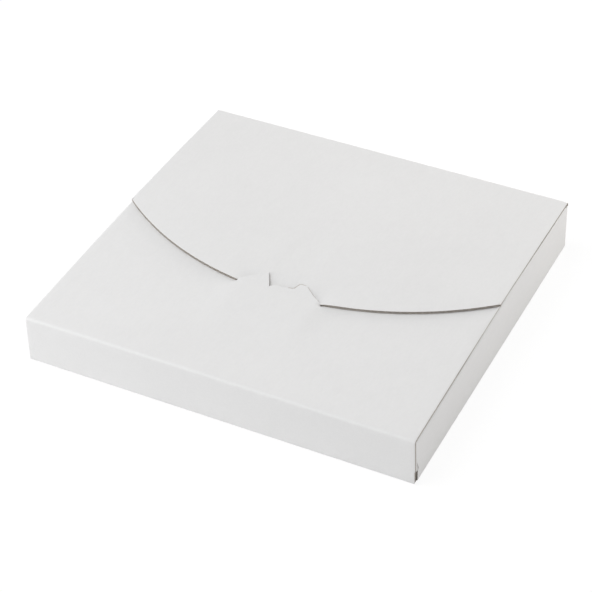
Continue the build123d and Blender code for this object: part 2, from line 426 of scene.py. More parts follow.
def side_lean(y, hand):
    """How far the top of a side wall leans in: only the right one does, most at its front end."""
    front = smooth_step((LEAN_GROWS_Y - y) / (SIDE_END_Y + LEAN_GROWS_Y))
    return (WALL_LEAN + (FLAP_INSET - WALL_LEAN) * front) if hand > 0 else 0


def place_side(w, y, t, hand):
    """Where a point of a side ends up: w runs from the base up the wall and into the dust flap."""
    top = side_top(y)
    if hand < 0:
        top = top - side_droop(-HALF_WIDTH, y)
    centre = (SIDE_START, BASE_FOLD_RADIUS)
    foot_x, foot_z = fold(w, 0, centre, BASE_FOLD_RADIUS, t, (0, -1), (1, 0))
    share = np.clip((w - SIDE_WALL) / (SIDE_FOLD - SIDE_WALL), 0, 1)
    wall_z = BASE_FOLD_RADIUS + share * (top - SIDE_FOLD_RADIUS - BASE_FOLD_RADIUS)
    centre = (HALF_WIDTH - SIDE_FOLD_RADIUS, top - SIDE_FOLD_RADIUS)
    fold_x, fold_z = fold(w, SIDE_FOLD, centre, SIDE_FOLD_RADIUS, t, (1, 0), (0, 1))
    flap_x = HALF_WIDTH - SIDE_FOLD_RADIUS - (w - SIDE_FLAP)
    zone = [w < SIDE_WALL, w < SIDE_FOLD, w < SIDE_FLAP]
    x = np.select(zone, [foot_x, HALF_WIDTH - t, fold_x], flap_x) - share * side_lean(y, hand)
    z = np.select(zone, [foot_z, wall_z, fold_z], top - t)
    return stacked(hand * x, y, z)


def lines(*runs):
    """Grid lines from runs of (start, end, spacing)."""
    found = []
    for start, end, spacing in runs:
        count = max(1, round(abs(end - start) / spacing))
        found.extend(np.linspace(start, end, count + 1))
    return np.unique(np.round(found, 4))


def rounded_path(corners):
    """Outline through corners (u, v, radius, kind), where kind is that of the run that follows."""
    path = []
    count = len(corners)
    for i, (u, v, radius, kind) in enumerate(corners):
        here = np.array((u, v), float)
        before = np.array(corners[i - 1][:2], float) - here
        after = np.array(corners[(i + 1) % count][:2], float) - here
        if radius <= 0:
            path.append((here, kind))
            continue
        a = before / np.linalg.norm(before)
        b = after / np.linalg.norm(after)
        half = math.acos(max(-1, min(1, float(a @ b)))) / 2
        cut = radius / math.tan(half)
        centre = here + (a + b) / np.linalg.norm(a + b) * radius / math.sin(half)
        start = here + a * cut - centre
        end = here + b * cut - centre
        sweep = math.atan2(start[0] * end[1] - start[1] * end[0], float(start @ end))
        steps = max(2, round(abs(sweep) / math.radians(18)))
        for k in range(steps + 1):
            angle = sweep * k / steps
            c, s = math.cos(angle), math.sin(angle)
            turned = np.array((start[0] * c - start[1] * s, start[0] * s + start[1] * c))
            path.append((centre + turned, kind))
    return path


def divided(path, lines_u, lines_v):
    """The outline with points added where grid lines cross it, or at even distances on a slope."""
    done = []
    count = len(path)
    for i, (p, kind) in enumerate(path):
        q = path[(i + 1) % count][0]
        step = q - p
        done.append((p, kind))
        if min(abs(step)) > 1e-6:
            parts = max(1, round(np.linalg.norm(step) / EDGE_SPACING))
            done.extend((p + step * k / parts, kind) for k in range(1, parts))
            continue
        k, grid = (1, lines_v) if abs(step[0]) <= 1e-6 else (0, lines_u)
        crossed = [c for c in grid if min(p[k], q[k]) + 0.05 < c < max(p[k], q[k]) - 0.05]
        for c in crossed if step[k] >= 0 else crossed[::-1]:
            done.append((np.array((c, p[1]) if k == 0 else (p[0], c)), kind))
    return done


GRID_CLEARANCE = 0.3  # of the points on the grid lines from the rings along an edge
NEARLY_STRAIGHT = 0.35  # sine of the turn below which a corner takes the mean of its runs
LONGEST_MITRE = 1.8


def moved_in(points, distances):
    """How far each corner of an outline moves in (out, where negative) as its two runs ask."""
    count = len(points)
    offsets = np.zeros_like(points)
    for i in range(count):
        run_in = points[i] - points[i - 1]
        run_out = points[(i + 1) % count] - points[i]
        n0 = np.array((-run_in[1], run_in[0])) / np.linalg.norm(run_in)
        n1 = np.array((-run_out[1], run_out[0])) / np.linalg.norm(run_out)
        d0, d1 = distances[i - 1], distances[i]
        cross = n0[0] * n1[1] - n0[1] * n1[0]
        if abs(cross) < NEARLY_STRAIGHT:
            offsets[i] = (n0 + n1) / 2 * max(d0, d1) if d0 * d1 == 0 else (n0 * d0 + n1 * d1) / 2
            continue
        offset = np.array((d0 * n1[1] - d1 * n0[1], n0[0] * d1 - n1[0] * d0)) / cross
        most = LONGEST_MITRE * max(d0, d1)
        length = np.linalg.norm(offset)
        offsets[i] = offset if length <= most or length == 0 else offset * most / length
    return offsets


def inside_loop(points, loop):
    """True for the points inside a closed loop."""
    x, y = points[:, 0], points[:, 1]
    inside = np.zeros(len(points), bool)
    for (x0, y0), (x1, y1) in zip(loop, np.roll(loop, -1, axis=0)):
        crosses = (y0 > y) != (y1 > y)
        if y1 != y0:
            inside ^= crosses & (x < (x1 - x0) * (y - y0) / (y1 - y0) + x0)
    return inside


def inside_outline(points, loops):
    """True for the points inside the first loop and outside the others, which are its holes."""
    inside = inside_loop(points, loops[0])
    for hole in loops[1:]:
        inside &= ~inside_loop(points, hole)
    return inside


def runs_along(run):
    """True for a run of an outline that lies along the flutes."""
    return np.abs(run[..., 0]) < 0.2 * np.abs(run[..., 1])


def pinch(u, v, along):
    """How far each liner is pressed in at a cut edge, more where the cut runs along the flutes."""
    wander = 0.05 * np.sin(v * 0.11 + 0.7) * np.sin(v * 0.047 + u * 0.01 + 2.1)
    middle = 1 - smooth_step((np.abs(v) - 15) / 40)
    return np.where(along, 0.12 + 0.24 * middle + wander, 0.03)


def stitch_seams(work):
    """Joins patches along their seams: an open edge is split where another patch has a corner,
    and what is still open is closed."""
    cut = True
    while cut:
        cut = False
        open_edges = [e for e in work.edges if e.is_boundary]
        corners = list(dict.fromkeys(v for e in open_edges for v in e.verts))
        for edge in open_edges:
            start, end = edge.verts
            run = end.co - start.co
            for corner in corners:
                share = (corner.co - start.co).dot(run) / run.length_squared
                inside = 0 < share < 1 and (corner.co - start.co - share * run).length < SEAM_GAP
                away = min((corner.co - start.co).length, (corner.co - end.co).length)
                if inside and away > SEAM_GAP:
                    bmesh.utils.edge_split(edge, start, share)
                    cut = True
                    break
        seam = list(dict.fromkeys(v for e in work.edges if e.is_boundary for v in e.verts))
        bmesh.ops.remove_doubles(work, verts=seam, dist=SEAM_GAP)
    left = [e for e in work.edges if e.is_boundary]
    for face in bmesh.ops.holes_fill(work, edges=left, sides=0)["faces"]:
        face.material_index = Sheet.FLUTING
        face.smooth = True


class Sheet:
    """A folded sheet of board: two liners, and a groove with flutes along its cut edges."""

    OUTER_FACE, LINER_EDGE, FLUTING, INNER_FACE = range(4)  # its slots for materials
    # Material of each band round a cut edge, from the outer face to the inner one
    BANDS = [OUTER_FACE, OUTER_FACE, LINER_EDGE, FLUTING, FLUTING, FLUTING, LINER_EDGE]
    BANDS += [OUTER_FACE, OUTER_FACE]

    def __init__(self):
        self.points = []
        self.uvs = []
        self.faces = []
        self.kinds = []
        self.creases = []
        self.edges = []

    def add_points(self, place, uv, t):
        """Numbers of the new points that lie at a depth t under the outer face."""
        start = len(self.points)
        spots = place(uv[:, 0], uv[:, 1], t)
        self.points.extend(spots.tolist())
        self.uvs.extend(uv.tolist())
        return np.arange(start, start + len(uv))

    def add_face(self, face, slot):
        """One face, in one of the materials."""
        self.faces.append(face)
        self.kinds.append(slot)

    def add_patch(self, place, outlines, lines_u, lines_v, flip=False):
        """One flat patch of the blank, placed on its folds by a rule."""
        rings = []
        boundary = []
        for index, corners in enumerate(outlines):
            path = divided(rounded_path(corners), lines_u, lines_v)
            spots = np.array([p for p, _ in path])
            kinds = [k for _, k in path]
            after = np.roll(spots, -1, axis=0)
            twice_area = np.sum(spots[:, 0] * after[:, 1] - after[:, 0] * spots[:, 1])
            if (twice_area > 0) != (index == 0):
                spots = spots[::-1].copy()
                kinds = kinds[-2::-1] + kinds[-1:]
            cut = np.array([k in EDGE_GROOVE for k in kinds], float)
            runs = np.roll(spots, -1, axis=0) - spots
            along = runs_along(runs) & (np.array(kinds) == "cut")
            edge_pinch = pinch(spots[:, 0], spots[:, 1], along) * cut
            press = (edge_pinch + np.roll(edge_pinch, 1)) / 2
            inner = moved_in(spots, np.array([EDGE_ROLL.get(k, 0) for k in kinds]))
            groove = moved_in(spots, np.array([EDGE_GROOVE.get(k, 0) for k in kinds]))
            flare = moved_in(spots, np.array([-LIP_FLARE.get(k, 0) for k in kinds]))
            levels = [
                (inner, 0 * press),
                (inner * 0.4, press * 0.55),
                (0 * inner, press + LINER_CORNER),
                (0 * inner, press + LINER),
                (groove, LINER + 0 * press),
                (groove, BOARD - LINER + 0 * press),
                (flare, BOARD - press - LINER),
                (flare, BOARD - press - LINER_CORNER),
                (flare + inner * 0.4, BOARD - press * 0.55),
                (inner, BOARD + 0 * press),
            ]
            ids = [self.add_points(place, spots + offset, t) for offset, t in levels]
            rings.append((ids, kinds))
            boundary.append(spots + inner)
            self.join_rings(ids, kinds, flip)
            self.note_edges(place, spots, kinds, moved_in(spots, cut), press)
        self.fill(place, boundary, rings, lines_u, lines_v, flip)

    def join_rings(self, ids, kinds, flip):
        """Faces between the rings along each cut run, and flat ends where two sheets butt."""
        count = len(kinds)
        for i, kind in enumerate(kinds):
            j = (i + 1) % count
            if kind in EDGE_GROOVE:
                for level, slot in enumerate(self.BANDS):
                    face = [ids[level][i], ids[level + 1][i], ids[level + 1][j], ids[level][j]]
                    self.add_face(face[::-1] if flip else face, slot)
                self.creases.extend((ring[i], ring[j]) for ring in ids[2:8])
            elif kind == "butt":
                face = [ids[0][i], ids[-1][i], ids[-1][j], ids[0][j]]
                self.add_face(face[::-1] if flip else face, self.FLUTING)
                self.creases.extend((ring[i], ring[j]) for ring in (ids[0], ids[-1]))
                for k, other in ((i, kinds[i - 1]), (j, kinds[j])):
                    if other in EDGE_GROOVE:
                        self.add_face([ring[k] for ring in ids], self.FLUTING)

    def note_edges(self, place, spots, kinds, inward, press):
        """Where flutes show: each main cut with its inward direction and the groove's room."""
        probe = 0.5
        u, v = spots[:, 0], spots[:, 1]
        middle = place(u, v, BOARD / 2)
        step = inward / np.maximum(np.linalg.norm(inward, axis=1), 1e-9)[:, None]
        inner = place(u + step[:, 0] * probe, v + step[:, 1] * probe, BOARD / 2)
        stand = place(u, v, 0) - place(u, v, BOARD)
        stand = stand / np.linalg.norm(stand, axis=1)[:, None]
        across = u + v * FLUTE_DRIFT
        rate = step[:, 0] + step[:, 1] * FLUTE_DRIFT
        room = BOARD / 2 - LINER - press - FLUTE_PAPER / 2
        facts = list(zip(middle, (inner - middle) / probe, stand, across, rate, room))
        for i, kind in enumerate(kinds):
            if kind == "cut":
                j = (i + 1) % len(kinds)
                self.edges.append((bool(runs_along(spots[j] - spots[i])), facts[i], facts[j]))

    def fill(self, place, boundary, rings, lines_u, lines_v, flip):
        """The outer and the inner face, as triangles on the grid lines."""
        flat = np.concatenate(boundary)
        edges = []
        start = 0
        for loop in boundary:
            n = len(loop)
            edges.extend((start + i, start + (i + 1) % n) for i in range(n))
            start += n
        grid_u, grid_v = np.meshgrid(lines_u, lines_v)
        grid = np.stack([grid_u.ravel(), grid_v.ravel()], axis=1)
        grid = grid[inside_outline(grid, boundary)]
        near = np.full(len(grid), np.inf)
        for a, b in edges:
            run = flat[b] - flat[a]
            length = float(run @ run)
            if length == 0:
                continue
            share = np.clip(((grid - flat[a]) @ run) / length, 0, 1)
            gap = np.linalg.norm(grid - (flat[a] + share[:, None] * run), axis=1)
            near = np.minimum(near, gap)
        grid = grid[near > GRID_CLEARANCE]
        spots = np.concatenate([flat, grid])
        cdt = delaunay_2d_cdt([Vector(p) for p in spots], edges, [], 0, 1e-5, True)
        origin = [ids[0] if ids else -1 for ids in cdt[3]]
        triangles = np.array([f for f in cdt[2] if len(f) == 3])
        positions = np.array([tuple(p) for p in cdt[0]])
        keep = inside_outline(positions[triangles].mean(axis=1), boundary)
        outer = list(np.concatenate([ids[0] for ids, _ in rings]))
        inner = list(np.concatenate([ids[-1] for ids, _ in rings]))
        outer.extend(self.add_points(place, grid, 0.0))
        inner.extend(self.add_points(place, grid, BOARD))
        for triangle in triangles[keep]:
            corners = [origin[k] for k in triangle]
            if min(corners) < 0:
                raise ValueError("an outline of the blank crosses itself")
            p, q, r = (spots[k] for k in corners)
            turn = (q[0] - p[0]) * (r[1] - p[1]) - (q[1] - p[1]) * (r[0] - p[0])
            if (turn < 0) != flip:
                corners = corners[::-1]
            self.add_face([outer[k] for k in corners], self.OUTER_FACE)
            self.add_face([inner[k] for k in corners[::-1]], self.INNER_FACE)

    def mesh(self, name, materials):
        """The finished sheet, with its patches merged and its faces turned outwards."""
        mesh = bpy.data.meshes.new(name)
        mesh.from_pydata([[c * MM for c in p] for p in self.points], [], self.faces)
        mesh.polygons.foreach_set("material_index", self.kinds)
        layer = mesh.uv_layers.new(name="blank")
        corners = np.zeros(len(mesh.loops), int)
        mesh.loops.foreach_get("vertex_index", corners)
        layer.data.foreach_set("uv", (np.array(self.uvs)[corners] * MM).ravel())
        crease = {tuple(sorted(pair)) for pair in self.creases}
        work = bmesh.new()
        work.from_mesh(mesh)
        for edge in work.edges:
            pair = tuple(sorted(v.index for v in edge.verts))
            edge.smooth = pair not in crease
        for face in work.faces:
            face.smooth = True
        loose = [v for v in work.verts if not v.link_faces]
        bmesh.ops.delete(work, geom=loose, context="VERTS")
        bmesh.ops.remove_doubles(work, verts=work.verts, dist=SEAM_GAP)
        stitch_seams(work)
        bmesh.ops.recalc_face_normals(work, faces=work.faces)
        work.to_mesh(mesh)
        work.free()
        for material in materials:
            mesh.materials.append(material)
        return mesh


def node_maker(tree):
    """Maker of nodes in a tree: it sets a node's inputs to values or links them to sockets."""

    def node(kind, inputs=None, **settings):
        made = tree.nodes.new(kind)
        for name, value in settings.items():
            setattr(made, name, value)
        for name, value in (inputs or {}).items():
            if isinstance(value, bpy.types.NodeSocket):
                tree.links.new(value, made.inputs[name])
            else:
                made.inputs[name].default_value = value
        return made

    return node


def cleared(owner):
    """Maker of nodes in an emptied material or world."""
    owner.use_nodes = True
    owner.node_tree.nodes.clear()
    return node_maker(owner.node_tree)


def arithmetic(node, operation, a, b=0.0, **settings):
    """Result of one sum of two values."""
    return node("ShaderNodeMath", {0: a, 1: b}, operation=operation, **settings).outputs[0]


def number_input(tree, name, value):
    """A numeric input of a node group, with its usual value."""
    socket = tree.interface.new_socket(name, in_out="INPUT", socket_type="NodeSocketFloat")
    socket.default_value = value


def flute_tree():
    """Geometry that stands a wave of fluting paper in the groove along each cut edge."""
    tree = bpy.data.node_groups.new("fluting_in_cut_edge", "GeometryNodeTree")
    face = tree.interface
    face.new_socket("Geometry", in_out="INPUT", socket_type="NodeSocketGeometry")
    number_input(tree, "Pitch", FLUTE_PITCH * MM)
    number_input(tree, "Depth", EDGE_GROOVE["cut"] * MM)
    number_input(tree, "Step", 0.3 * MM)
    number_input(tree, "Paper", FLUTE_PAPER * MM)
    rows = face.new_socket("Rows", in_out="INPUT", socket_type="NodeSocketInt")
    rows.default_value = 5
    face.new_socket("Material", in_out="INPUT", socket_type="NodeSocketMaterial")
    face.new_socket("Geometry", in_out="OUTPUT", socket_type="NodeSocketGeometry")
    node = node_maker(tree)
    given = node("NodeGroupInput").outputs

    def named(name, kind):
        made = node("GeometryNodeInputNamedAttribute", {"Name": name}, data_type=kind)
        return made.outputs["Attribute"]

    def scaled(vector, factor):
        inputs = {0: vector, "Scale": factor}
        return node("ShaderNodeVectorMath", inputs, operation="SCALE").outputs[0]

    def plus(a, b):
        return node("ShaderNodeVectorMath", {0: a, 1: b}, operation="ADD").outputs[0]

    def stored(geometry, name, value, kind):
        inputs = {"Geometry": geometry, "Name": name, "Value": value}
        return node("GeometryNodeStoreNamedAttribute", inputs, data_type=kind).outputs[0]

    def resampled(curve, mode, **inputs):
        inputs = {"Curve": curve, **inputs}
        return node("GeometryNodeResampleCurve", inputs, mode=mode).outputs[0]

    path = node("GeometryNodeMeshToCurve", {"Mesh": given["Geometry"]}).outputs[0]
    path = resampled(path, "LENGTH", Length=given["Step"])
    place = node("GeometryNodeInputPosition").outputs[0]
    path = stored(path, "path_point", place, "FLOAT_VECTOR")
    rungs = node("GeometryNodeCurvePrimitiveLine", {"End": (MM, 0, 0)}).outputs[0]
    rungs = resampled(rungs, "COUNT", Count=given["Rows"])
    share = node("GeometryNodeSplineParameter").outputs["Factor"]
    rungs = stored(rungs, "row", share, "FLOAT")
    band = node("GeometryNodeCurveToMesh", {"Curve": path, "Profile Curve": rungs}).outputs[0]
    row = named("row", "FLOAT")
    deep = arithmetic(node, "MULTIPLY", row, given["Depth"])
    drift = arithmetic(node, "MULTIPLY", named("rate", "FLOAT"), deep)
    across = arithmetic(node, "ADD", named("across", "FLOAT"), drift)
    phase = arithmetic(node, "DIVIDE", across, given["Pitch"])
    wave = arithmetic(node, "SINE", arithmetic(node, "MULTIPLY", phase, math.tau))
    stand = named("stand", "FLOAT_VECTOR")
    height = arithmetic(node, "MULTIPLY", wave, named("room", "FLOAT"))
    half_paper = arithmetic(node, "MULTIPLY", given["Paper"], 0.5)
    centred = arithmetic(node, "SUBTRACT", height, half_paper)
    inward = plus(named("path_point", "FLOAT_VECTOR"), scaled(named("inward", "FLOAT_VECTOR"), deep))
    spot = plus(inward, scaled(stand, centred))
    waved = node("GeometryNodeSetPosition", {"Geometry": band, "Position": spot}).outputs[0]
    raise_by = {"Offset": stand, "Offset Scale": given["Paper"], "Individual": False}
    raised = node("GeometryNodeExtrudeMesh", {"Mesh": waved, **raise_by}, mode="FACES")
    under = node("GeometryNodeFlipFaces", {"Mesh": waved}).outputs[0]
    both = node("GeometryNodeJoinGeometry", {0: raised.outputs["Mesh"]})
    tree.links.new(under, both.inputs[0])
    weld = {"Geometry": both.outputs[0], "Distance": 0.002 * MM}
    closed = node("GeometryNodeMergeByDistance", weld).outputs[0]
    real = node("GeometryNodeRealizeInstances", {"Geometry": closed}).outputs[0]
    finish = {"Geometry": real, "Material": given["Material"]}
    dressed = node("GeometryNodeSetMaterial", finish)
    node("NodeGroupOutput", {0: dressed.outputs[0]})
    return tree


# Step along the edge and rows across the groove, by whether the cut runs along the flutes
FLUTE_STEPS = {False: (0.32, 4), True: (1.2, 5)}
# What a cut edge carries into the tree, and the scale to metres of each
EDGE_FACTS = {"inward": 1.0, "stand": 1.0, "across": MM, "rate": 1.0, "room": MM}


def fluting(name, sheet, tree, material):
    """The waves of fluting that show in a sheet's cut edges, as one plain mesh."""
    work = bmesh.new()
    for along, (step, rows) in FLUTE_STEPS.items():
        points, pairs, facts, known = [], [], [], {}
        for ends in [edge[1:] for edge in sheet.edges if edge[0] == along]:
            pair = []
            for end in ends:
                key = tuple(np.round(end[0], 3)) + tuple(np.round(end[1], 1))
                if key not in known:
                    known[key] = len(points)
                    points.append([c * MM for c in end[0]])
                    facts.append(end)
                pair.append(known[key])
            if pair[0] != pair[1]:
                pairs.append(pair)
        mesh = bpy.data.meshes.new(name)
        mesh.from_pydata(points, pairs, [])
        for column, (key, scale) in enumerate(EDGE_FACTS.items(), 1):
            values = np.array([f[column] for f in facts]) * scale
            kind, field = ("FLOAT_VECTOR", "vector") if values.ndim == 2 else ("FLOAT", "value")
            mesh.attributes.new(key, kind, "POINT").data.foreach_set(field, values.ravel())
        holder = bpy.data.objects.new(name, mesh)
        scene.collection.objects.link(holder)
        modifier = holder.modifiers.new("fluting", "NODES")
        modifier.node_group = tree
        items = tree.interface.items_tree
        sockets = {item.name: item.identifier for item in items if item.in_out == "INPUT"}
        modifier[sockets["Step"]] = step * MM
        modifier[sockets["Rows"]] = rows
        modifier[sockets["Material"]] = material
        graph = bpy.context.evaluated_depsgraph_get()
        work.from_mesh(bpy.data.meshes.new_from_object(holder.evaluated_get(graph)))
        bpy.data.objects.remove(holder)
    for face in work.faces:
        face.smooth = True
        face.material_index = 0
    done = bpy.data.meshes.new(name)
    work.to_mesh(done)
    work.free()
    done.materials.append(material)
    for key in ("inward", "stand", "path_point"):
        if key in done.attributes:
            done.attributes.remove(done.attributes[key])
    return done


def piece(name, mesh):
    """A finished piece at the origin."""
    made = bpy.data.objects.new(name, mesh)
    scene.collection.objects.link(made)
    return made


def paper_group():
    """Fibre of paper: a tone and a height that vary finely over the surface."""
    tree = bpy.data.node_groups.new("paper_fibre", "ShaderNodeTree")
    number_input(tree, "Scale", 900)
    for name in ("Tone", "Height"):
        tree.interface.new_socket(name, in_out="OUTPUT", socket_type="NodeSocketFloat")
    node = node_maker(tree)
    given = node("NodeGroupInput").outputs
    where = node("ShaderNodeTexCoord").outputs["Object"]
    stretch = node("ShaderNodeMapping", {"Vector": where, "Scale": (1.0, 0.45, 1.0)}).outputs[0]

    def noise(vector, scale, detail, roughness):
        inputs = {"Vector": vector, "Scale": scale, "Detail": detail, "Roughness": roughness}
        return node("ShaderNodeTexNoise", inputs).outputs[0]

    fine = noise(stretch, given["Scale"], 4.0, 0.6)
    cloud = noise(where, 22.0, 3.0, 0.5)
    flecks = noise(stretch, 260.0, 2.0, 0.7)
    tone = arithmetic(
        node,
        "ADD",
        arithmetic(node, "MULTIPLY", fine, 0.4),
        arithmetic(node, "MULTIPLY", cloud, 0.35),
    )
    tone = arithmetic(node, "ADD", tone, arithmetic(node, "MULTIPLY", flecks, 0.25))
    node("NodeGroupOutput", {"Tone": tone, "Height": arithmetic(node, "ADD", fine, flecks)})
    return tree


def washboard_group():
    """Flutes showing faintly through a liner: a height that waves across the blank."""
    tree = bpy.data.node_groups.new("flutes_through_liner", "ShaderNodeTree")
    number_input(tree, "Pitch", FLUTE_PITCH * MM)
    tree.interface.new_socket("Height", in_out="OUTPUT", socket_type="NodeSocketFloat")
    node = node_maker(tree)
    given = node("NodeGroupInput").outputs
    blank = node("ShaderNodeUVMap", uv_map="blank").outputs[0]
    split = node("ShaderNodeSeparateXYZ", {0: blank}).outputs
    drift = arithmetic(node, "MULTIPLY", split[1], FLUTE_DRIFT)
    across = arithmetic(node, "ADD", split[0], drift)
    turns = arithmetic(node, "DIVIDE", across, given["Pitch"])
    wave = arithmetic(node, "SINE", arithmetic(node, "MULTIPLY", turns, math.tau))
    node("NodeGroupOutput", {0: wave})
    return tree


def paper_material(name, dark, light, roughness, scale, relief_strength, flute_strength):
    """A paper finish between two close tones, with its grain, and flutes where they show."""
    material = bpy.data.materials.new(name)
    node = cleared(material)
    grain = node("ShaderNodeGroup", node_tree=fibre)
    grain.inputs["Scale"].default_value = scale
    ramp = node("ShaderNodeValToRGB", {0: grain.outputs["Tone"]})
    for stop, position, tone in zip(ramp.color_ramp.elements, (0.35, 0.65), (dark, light)):
        stop.position = position
        stop.color = (*tone, 1)
    spread = node(
        "ShaderNodeMapRange",
        {
            "Value": grain.outputs["Tone"],
            "From Min": 0.3,
            "From Max": 0.7,
            "To Min": roughness - 0.06,
            "To Max": roughness + 0.06,
        },
    )
    relief = {"Height": grain.outputs["Height"], "Strength": relief_strength}
    relief = node("ShaderNodeBump", {**relief, "Distance": 0.02 * MM}).outputs[0]
    if flute_strength:
        wave = node("ShaderNodeGroup", node_tree=washboard).outputs["Height"]
        waved = {"Height": wave, "Strength": flute_strength, "Normal": relief}
        relief = node("ShaderNodeBump", {**waved, "Distance": 0.02 * MM}).outputs[0]
    surface = node(
        "ShaderNodeBsdfPrincipled",
        {
            "Base Color": ramp.outputs[0],
            "Roughness": spread.outputs[0],
            "Normal": relief,
            "Specular IOR Level": 0.35,
        },
    )
    out = node("ShaderNodeOutputMaterial", {"Surface": surface.outputs[0]})
    out.is_active_output = True
    return material


def seen_directly(node):
    """1 for a ray from the camera, a mirror or glass, and 0 for one that only brings light."""
    ray = node("ShaderNodeLightPath").outputs
    seen = arithmetic(node, "ADD", ray["Is Camera Ray"], ray["Is Glossy Ray"])
    return arithmetic(node, "ADD", seen, ray["Is Transmission Ray"], use_clamp=True)


fibre = paper_group()
washboard = washboard_group()
# Dark and light tone, roughness, scale and relief of the fibre, and how far the flutes show
FINISHES = {
    "white_liner": ((0.767, 0.766, 0.766), (0.802, 0.801, 0.801), 0.6, 900, 0.25, 0.3),
    "liner_cut": ((0.36, 0.32, 0.28), (0.52, 0.48, 0.43), 0.85, 2500, 0.6, 0),
    "fluting_paper": ((0.45, 0.415, 0.38), (0.58, 0.54, 0.5), 0.85, 1500, 0.5, 0),
    "inner_liner": ((0.72, 0.715, 0.695), (0.76, 0.755, 0.735), 0.72, 700, 0.35, 0.5),
}
board_finish = [paper_material(name, *finish) for name, finish in FINISHES.items()]
fluting_paper = board_finish[Sheet.FLUTING]

# Grid lines of the two sheets, closest round the lock and in the folds
blank_lines_u = lines((-100, -60, 5), (-60, -26, 3), (-26, 26, 1.5), (26, 60, 3), (60, 100, 5))
lid_lines_v = lines(
    (LID_SEAM, LID_ARC_START, 3),
    (LID_ARC_START, LID_ARC_END, 0.35),
    (LID_ARC_END, LID_ARC_END + 4, 1),
    (LID_ARC_END + 4, -12, 4),
    (-12, 52, 1.5),
)


def lid_outline():
    """Outline of the lid's sheet: its curved edge passes under the lip, where the tongue starts."""
    tongue = [(TONGUE_WIDE[0], -TONGUE_WIDE[1], 2), (TONGUE_TIP[0], -TONGUE_TIP[1], 5)]
    turns = np.linspace(HALF_WIDTH, SLIT_END_X, 72)
    inset = HALF_WIDTH - BACK_INSET
    shoulder = LID_ARC_START - 1.6
    corners = [(-inset, LID_SEAM, 0, "butt"), (inset, LID_SEAM, 0, "fine")]
    corners += [(inset, shoulder, 0, "fine"), (HALF_WIDTH, shoulder + 0.3, 0.3, "fine")]
    corners += [(HALF_WIDTH, LID_ARC_END + 1, 0, "cut")]
    corners += [(x, -float(arc_y(x)), 0, "cut") for x in turns]
    corners += [(x, -y, 0, "fine") for x, y in LID_NECK[1]]
    corners += [(x, v, r, "fine") for x, v, r in tongue]
    corners += [(-x, v, r, "fine") for x, v, r in tongue[::-1]]
    corners += [(x, -y, 0, "fine") for x, y in LID_NECK[-1][::-1]]
    corners += [(-x, -float(arc_y(x)), 0, "cut") for x in turns[::-1]]
    corners += [(-HALF_WIDTH, LID_ARC_END + 1, 0, "fine")]
    corners += [(-HALF_WIDTH, shoulder + 0.3, 0.3, "fine"), (-inset, shoulder, 0, "fine")]
    return corners


lid_sheet = Sheet()
lid_sheet.add_patch(place_lid, [lid_outline()], blank_lines_u, lid_lines_v)

def base_v(y):
    """Length along the strip of a point on the base."""
    return STRIP_BASE + HALF_DEPTH - BASE_FOLD_RADIUS + y


BASE_LINES_END = 96.4  # short of the folds at the front and the back of the base
y_lines = lines(
    (-96.6, -94.6, 1), (-94.6, -70, 5), (-70, -12, 3), (-12, 30, 2), (30, 94.6, 5), (94.6, 98.2, 1)
)
strip_parts = [
    FLAP_END_Y - lines((-96.1, -92, 1), (-92, -60, 4), (-60, 8, 1.5)),
    lines((STRIP_FOLD, STRIP_WALL, 0.35), (STRIP_WALL, STRIP_FOOT, 3)),
    lines((STRIP_FOOT, STRIP_BASE, 0.35)),
    base_v(y_lines[np.abs(y_lines) < BASE_LINES_END]),
    lines((STRIP_HEEL, STRIP_BACK, 0.35), (STRIP_BACK, STRIP_SEAM, 3)),
]
strip_lines_v = np.unique(np.concatenate(strip_parts).round(4))


def strip_outline():
    """Outline of the strip: front flap, front wall, base and the foot of the back wall."""
    wall_end = STRIP_WALL + FRONT_FOLD_Z - FOLD_RADIUS - SLOT_TOP
    half = [
        (HALF_WIDTH, 0, 3, "cut"),
        (HALF_WIDTH, wall_end, 0, "fine"),
        (HALF_WIDTH - 0.3, wall_end + 0.4, 0, "fine"),
        (HALF_WIDTH - 0.3, STRIP_FOOT, 0, "fine"),
        (SLOT_X, STRIP_BASE + 0.3, 0, "fine"),
        (SLOT_X, base_v(-SLOT_Y) - 0.3, 0, "fine"),
        (SIDE_START, base_v(-SLOT_Y), 0, "join"),
        (SIDE_START, base_v(SLOT_Y), 0, "fine"),
        (HALF_WIDTH - BACK_INSET, base_v(SLOT_Y) + 0.3, 0, "fine"),
        (HALF_WIDTH - BACK_INSET, STRIP_SEAM, 0, "butt"),
    ]
    kinds = ["cut"] + [corner[3] for corner in half[:-1]]
    other = [(-u, v, r, kind) for (u, v, r, _), kind in zip(half, kinds)]
    return half + other[::-1]


def slit_hole():
    """The slit in the front flap: the edge of its lip in front and the window behind it."""
    corners = [(-SLIT_END_X, SLIT_END_Y, 0)] + LIP_EDGE + [(SLIT_END_X, SLIT_END_Y, 0)]
    corners += [(WINDOW_X, WINDOW_Y, 0), (-WINDOW_X, WINDOW_Y, 0)]
    return [(x, FLAP_END_Y - y, r, kind) for (x, y, r), kind in zip(corners, SLIT_KINDS)]


carton_sheet = Sheet()
strip_edges = [strip_outline(), slit_hole()]
carton_sheet.add_patch(place_strip, strip_edges, blank_lines_u, strip_lines_v)

side_lines_w = lines(
    (0, SIDE_WALL, 0.35),
    (SIDE_WALL, SIDE_FOLD, 3),
    (SIDE_FOLD, SIDE_FLAP, 0.3),
    (SIDE_FLAP, SIDE_FLAP + 3, 1),
    (SIDE_FLAP + 3, SIDE_END, 4),
)


def wall_w(z):
    """Length along a side of a height on its wall, at its front end."""
    wall_height = SIDE_TOPS[0][1] - SIDE_FOLD_RADIUS - BASE_FOLD_RADIUS
    return SIDE_WALL + (z - BASE_FOLD_RADIUS) * SIDE_WALL_RUN / wall_height


